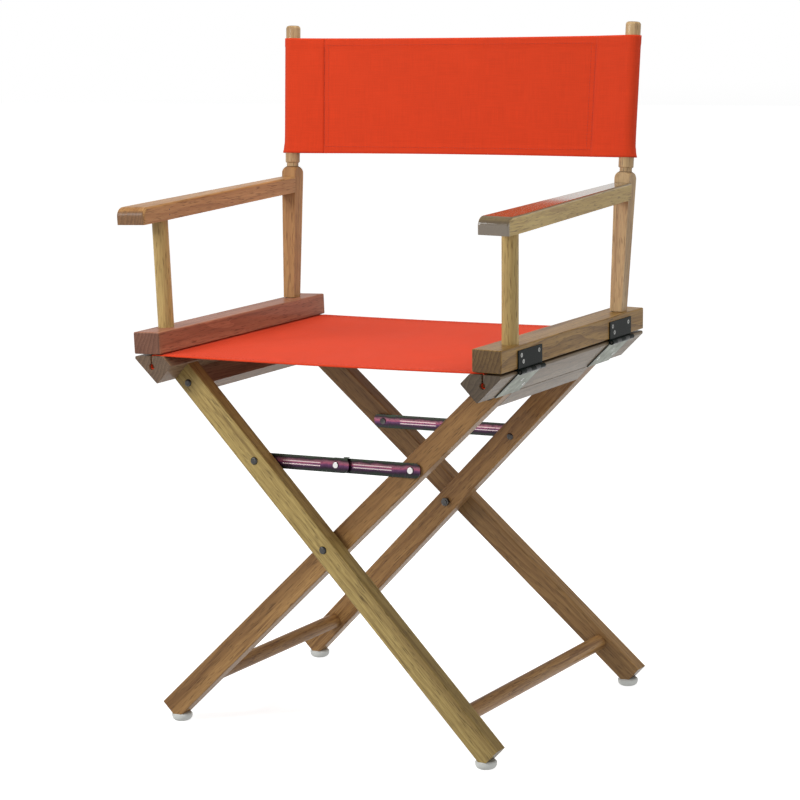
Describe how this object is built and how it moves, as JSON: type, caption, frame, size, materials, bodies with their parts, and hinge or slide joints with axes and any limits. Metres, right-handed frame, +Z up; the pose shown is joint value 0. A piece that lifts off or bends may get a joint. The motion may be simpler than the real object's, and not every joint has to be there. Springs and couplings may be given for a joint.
{
  "type": "folding director chair",
  "caption": "Wooden director's chair that folds sideways: crossed legs, hinged arms, a sling seat and a sling back of red canvas, and folding metal braces.",
  "frame": {"origin": "on the floor, under the centre of the chair", "axes": "+X towards the sitter's left, +Y towards the back, +Z up"},
  "size_m": [0.5372, 0.428, 0.8537],
  "materials": {
    "leg_wood": "satin lacquer, yellow-olive hardwood",
    "arm_wood": "satin lacquer, warm tan hardwood",
    "rail_wood": "satin lacquer, brown hardwood",
    "canvas": "red-orange cotton canvas, plain weave",
    "hem_rod": "bare dowel",
    "arm_leaf_metal": "gloss black",
    "rail_leaf_metal": "bright zinc",
    "hinge_pin_steel": "dark steel",
    "screw_steel": "dark steel",
    "bolt_steel": "dark steel",
    "brace_metal": "dark passivated zinc with a colour sheen",
    "rivet_steel": "bright zinc",
    "spacer_plastic": "black",
    "glide_plastic": "grey-white"
  },
  "bodies": {
    "left_arm": {"left_arm_base": "arm_wood", "left_armrest": "arm_wood", "left_front_post": "arm_wood", "left_rear_post": "arm_wood", "left_back_dowel": "arm_wood", "left_front_hinge_arm_leaf": "arm_leaf_metal", "left_rear_hinge_arm_leaf": "arm_leaf_metal", "left_front_hinge_pin": "hinge_pin_steel", "left_rear_hinge_pin": "hinge_pin_steel", "left_arm_hinge_screws": "screw_steel", "left_arm_brads": "screw_steel", "back_canvas": "canvas"},
    "right_arm": {"right_arm_base": "arm_wood", "right_armrest": "arm_wood", "right_front_post": "arm_wood", "right_rear_post": "arm_wood", "right_back_dowel": "arm_wood", "right_front_hinge_arm_leaf": "arm_leaf_metal", "right_rear_hinge_arm_leaf": "arm_leaf_metal", "right_front_hinge_pin": "hinge_pin_steel", "right_rear_hinge_pin": "hinge_pin_steel", "right_arm_hinge_screws": "screw_steel", "right_arm_brads": "screw_steel"},
    "outer_frame": {"left_seat_rail": "rail_wood", "left_seat_dowel": "hem_rod", "left_front_hinge_rail_leaf": "rail_leaf_metal", "left_rear_hinge_rail_leaf": "rail_leaf_metal", "left_rail_hinge_screws": "screw_steel", "left_rail_bolts": "bolt_steel", "front_outer_leg": "leg_wood", "rear_outer_leg": "leg_wood", "right_stretcher": "leg_wood", "front_right_glide": "glide_plastic", "rear_right_glide": "glide_plastic", "outer_brace_bolts": "bolt_steel", "pivot_bolts": "bolt_steel", "pivot_nuts": "bolt_steel", "pivot_spacers": "spacer_plastic", "seat_canvas": "canvas"},
    "inner_frame": {"right_seat_rail": "rail_wood", "right_seat_dowel": "hem_rod", "right_front_hinge_rail_leaf": "rail_leaf_metal", "right_rear_hinge_rail_leaf": "rail_leaf_metal", "right_rail_hinge_screws": "screw_steel", "right_rail_bolts": "bolt_steel", "front_inner_leg": "leg_wood", "rear_inner_leg": "leg_wood", "left_stretcher": "leg_wood", "front_left_glide": "glide_plastic", "rear_left_glide": "glide_plastic", "inner_brace_rivets": "rivet_steel"},
    "front_outer_link": {"front_brace_outer_link": "brace_metal", "front_brace_middle_rivet": "rivet_steel"},
    "front_inner_link": {"front_brace_inner_link": "brace_metal", "front_brace_rivet_tail": "rivet_steel"},
    "rear_outer_link": {"rear_brace_outer_link": "brace_metal", "rear_brace_middle_rivet": "rivet_steel"},
    "rear_inner_link": {"rear_brace_inner_link": "brace_metal", "rear_brace_rivet_tail": "rivet_steel"}
  },
  "joints": [
    {"name": "fold", "type": "hinge", "parent": "left_arm", "child": "outer_frame", "pos_m": [-0.2558, 0, 0.4645], "axis": [0, 1, 0], "range_deg": [0, 38], "deforming": ["seat_canvas", "back_canvas"]},
    {"name": "scissor", "type": "hinge", "parent": "outer_frame", "child": "inner_frame", "pos_m": [0, 0, 0.2395], "axis": [0, 1, 0], "range_deg": [-76, 0]},
    {"name": "right_arm_hinge", "type": "hinge", "parent": "inner_frame", "child": "right_arm", "pos_m": [0.2558, 0, 0.4645], "axis": [0, 1, 0], "range_deg": [0, 38]},
    {"name": "front_outer_link_pin", "type": "hinge", "parent": "outer_frame", "child": "front_outer_link", "pos_m": [-0.10071, -0.14588, 0.33675], "axis": [0, 0.9923, -0.1237], "range_deg": [-116.85, 0]},
    {"name": "front_inner_link_pin", "type": "hinge", "parent": "inner_frame", "child": "front_inner_link", "pos_m": [0.10071, -0.14588, 0.33675], "axis": [0, 0.9923, -0.1237], "range_deg": [0, 116.85]},
    {"name": "rear_outer_link_pin", "type": "hinge", "parent": "outer_frame", "child": "rear_outer_link", "pos_m": [-0.10071, 0.14588, 0.33675], "axis": [0, 0.9923, 0.1237], "range_deg": [-116.85, 0]},
    {"name": "rear_inner_link_pin", "type": "hinge", "parent": "inner_frame", "child": "rear_inner_link", "pos_m": [0.10071, 0.14588, 0.33675], "axis": [0, 0.9923, 0.1237], "range_deg": [0, 116.85]}
  ],
  "couplings": [
    {"joint": "scissor", "follows": "fold", "ratio": -2},
    {"joint": "right_arm_hinge", "follows": "fold", "ratio": 1},
    {"joint": "front_outer_link_pin", "follows": "fold", "ratio": -3.0749},
    {"joint": "front_inner_link_pin", "follows": "fold", "ratio": 3.0749},
    {"joint": "rear_outer_link_pin", "follows": "fold", "ratio": -3.0749},
    {"joint": "rear_inner_link_pin", "follows": "fold", "ratio": 3.0749}
  ]
}
